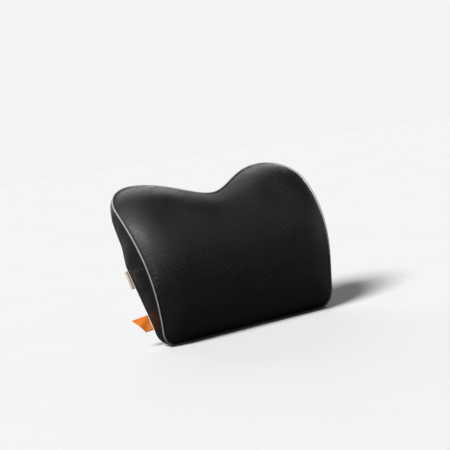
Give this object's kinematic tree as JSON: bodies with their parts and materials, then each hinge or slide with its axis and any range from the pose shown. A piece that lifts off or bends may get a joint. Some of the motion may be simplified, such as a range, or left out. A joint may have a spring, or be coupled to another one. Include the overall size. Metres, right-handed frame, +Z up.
{
  "type": "lumbar support cushion",
  "caption": "D-section lumbar support cushion with two top lobes, perforated front, piped seam, side band and zipped back.",
  "frame": {"origin": "middle of the flat foot face, which rests on the seat or table", "axes": "+X across the cushion, -Y out of its crowned front, +Z up from the foot face; the flat back leans back 25 degrees from +Z, as in a seat's corner"},
  "size_m": [0.4142, 0.1824, 0.2896],
  "materials": {
    "perforated_black": "perforated leatherette, fine grain, satin",
    "smooth_black": "smooth leatherette, fine grain, satin",
    "back_fabric": "black spacer mesh, matt",
    "grey_backing": "grey foam laminate, matt",
    "piping_grey": "light grey bias tape, satin",
    "white_cord": "twisted cord, matt",
    "knit_white": "thin knit, matt",
    "foam": "open-cell memory foam, matt",
    "zip_tape": "woven tape, matt",
    "zip_teeth": "moulded nylon coil",
    "zip_metal": "black lacquered zinc, satin",
    "elastic": "ribbed elastic webbing, matt",
    "label_white": "woven satin label, white with a tan root",
    "label_orange": "woven satin label, orange"
  },
  "bodies": {
    "cushion": {"foam_core": "foam", "inner_liner": "knit_white", "front_backing": "grey_backing", "piping_cord": "white_cord", "front_panel": "perforated_black", "gusset_band": "smooth_black", "gusset_base": "smooth_black", "piping_sleeve": "piping_grey", "back_panel_upper": "back_fabric", "back_panel_lower": "back_fabric", "retaining_band": "elastic", "side_label": "label_white", "orange_tab": "label_orange", "zip_tape_upper": "zip_tape", "zip_tape_lower": "zip_tape", "zip_teeth_upper": "zip_teeth", "zip_teeth_lower": "zip_teeth", "zip_end_stop": "zip_metal", "zip_top_stop_upper": "zip_metal", "zip_top_stop_lower": "zip_metal"},
    "slider": {"zip_slider": "zip_metal"},
    "pull": {"zip_pull": "zip_metal"}
  },
  "joints": [
    {"name": "zip_slide", "type": "slide", "parent": "cushion", "child": "slider", "axis": [-1, 0, 0], "range_m": [0, 0.269]},
    {"name": "pull_swing", "type": "hinge", "parent": "slider", "child": "pull", "pos_m": [0.1345, 0.02921, 0.03954], "axis": [0, -0.4226, -0.9063], "range_deg": [0, 175]}
  ]
}
